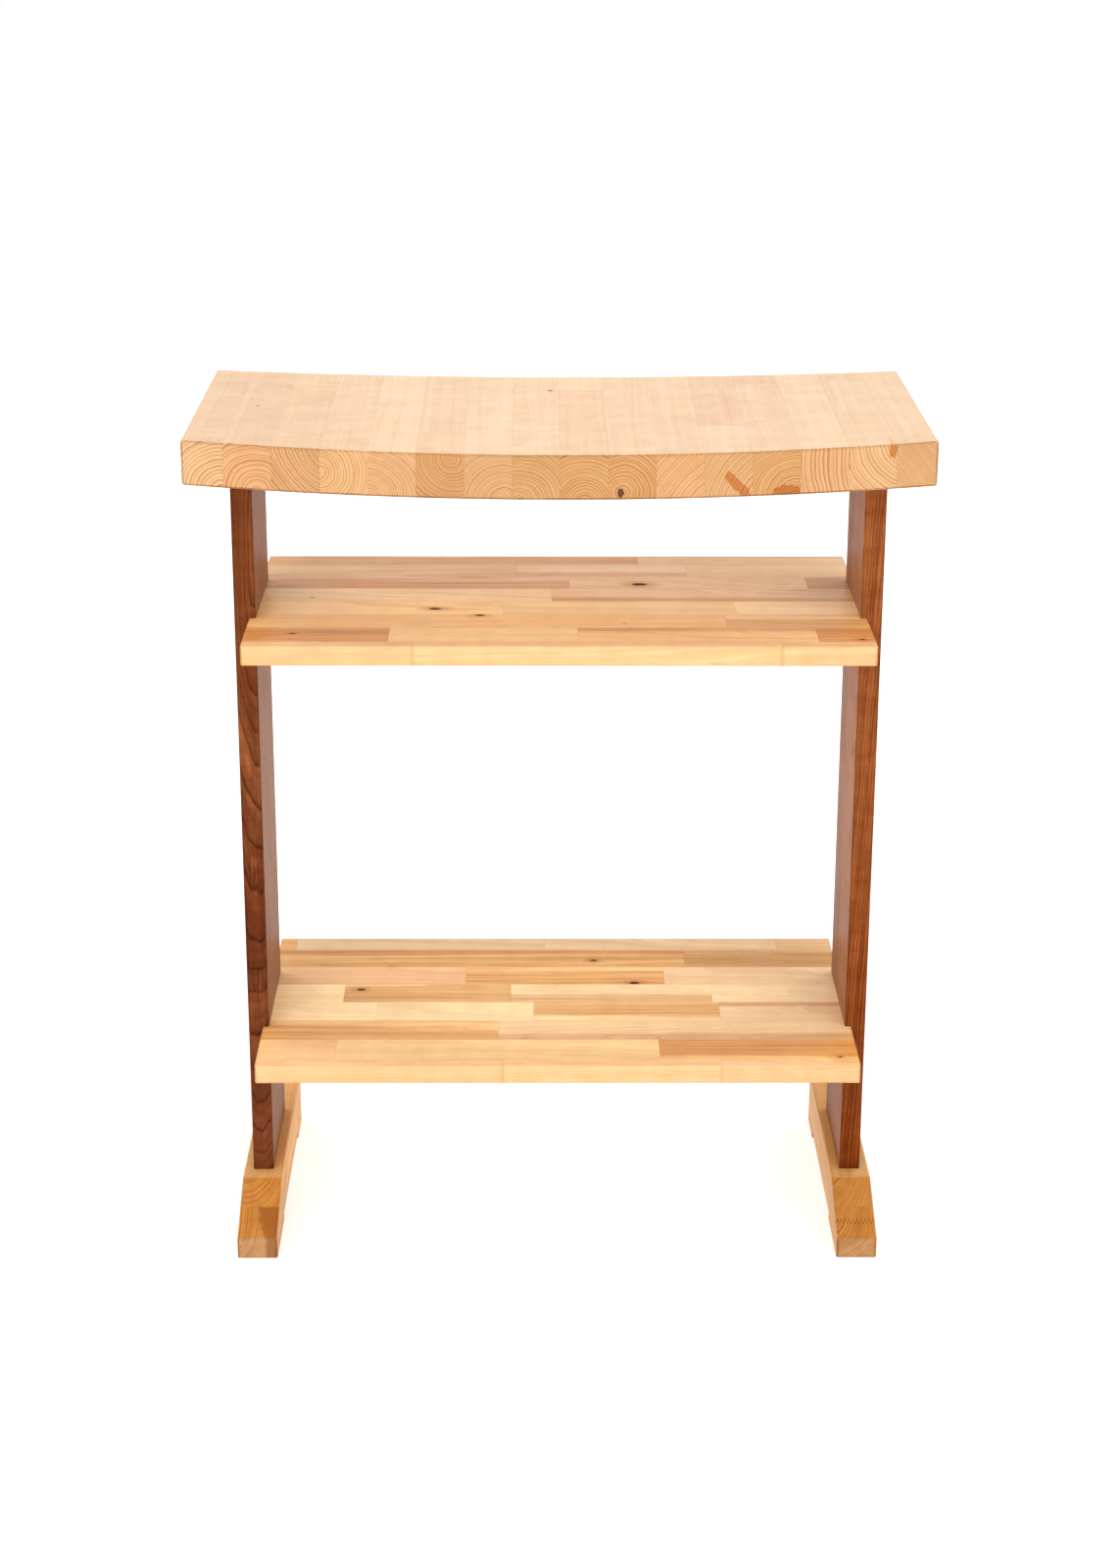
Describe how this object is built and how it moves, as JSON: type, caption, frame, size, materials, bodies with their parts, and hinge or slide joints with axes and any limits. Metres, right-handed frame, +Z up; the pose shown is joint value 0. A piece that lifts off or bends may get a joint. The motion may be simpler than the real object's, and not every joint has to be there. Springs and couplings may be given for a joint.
{
  "type": "butcher block side table",
  "caption": "Wooden side table with a dished edge-glued block top, two open shelves housed in upright dark side panels, and sled feet with sloping toes.",
  "frame": {"origin": "on the floor, at the centre of the table's box seen from above", "axes": "+Z up, +X to the right along the top, +Y to the back; the feet's sloping toes point to -Y"},
  "size_m": [0.635, 0.3, 0.7699],
  "materials": {
    "top_maple": "satin oil, pale edge-glued hardwood staves, end grain on the front and rear edges",
    "shelf_birch": "satin lacquer, mixed pale sapwood and brown heartwood strips",
    "panel_walnut": "satin oil, reddish-brown walnut",
    "foot_maple": "satin oil, honey-coloured hardwood",
    "dowel_beech": "bare turned beech",
    "zinc_steel": "bright zinc plating"
  },
  "bodies": {
    "root": {"foot_screws": "zinc_steel", "foot_washers": "zinc_steel", "left_foot_lower": "foot_maple", "left_foot_upper": "foot_maple", "left_panel_front_board": "panel_walnut", "left_panel_rear_board": "panel_walnut", "lower_shelf_strip_1": "shelf_birch", "lower_shelf_strip_2": "shelf_birch", "lower_shelf_strip_3": "shelf_birch", "lower_shelf_strip_4": "shelf_birch", "lower_shelf_strip_5": "shelf_birch", "lower_shelf_strip_6": "shelf_birch", "lower_shelf_strip_7": "shelf_birch", "lower_shelf_strip_8": "shelf_birch", "right_foot_lower": "foot_maple", "right_foot_toe_block": "foot_maple", "right_foot_upper": "foot_maple", "right_panel_front_board": "panel_walnut", "right_panel_rear_board": "panel_walnut", "top_dowels": "dowel_beech", "top_stave_01": "top_maple", "top_stave_02": "top_maple", "top_stave_03": "top_maple", "top_stave_04": "top_maple", "top_stave_05": "top_maple", "top_stave_06": "top_maple", "top_stave_07": "top_maple", "top_stave_08": "top_maple", "top_stave_09": "top_maple", "top_stave_10": "top_maple", "top_stave_11": "top_maple", "top_stave_12": "top_maple", "top_stave_13": "top_maple", "top_stave_14": "top_maple", "top_stave_15": "top_maple", "top_stave_16": "top_maple", "upper_shelf_strip_1": "shelf_birch", "upper_shelf_strip_2": "shelf_birch", "upper_shelf_strip_3": "shelf_birch", "upper_shelf_strip_4": "shelf_birch", "upper_shelf_strip_5": "shelf_birch", "upper_shelf_strip_6": "shelf_birch", "upper_shelf_strip_7": "shelf_birch", "upper_shelf_strip_8": "shelf_birch"}
  },
  "joints": []
}
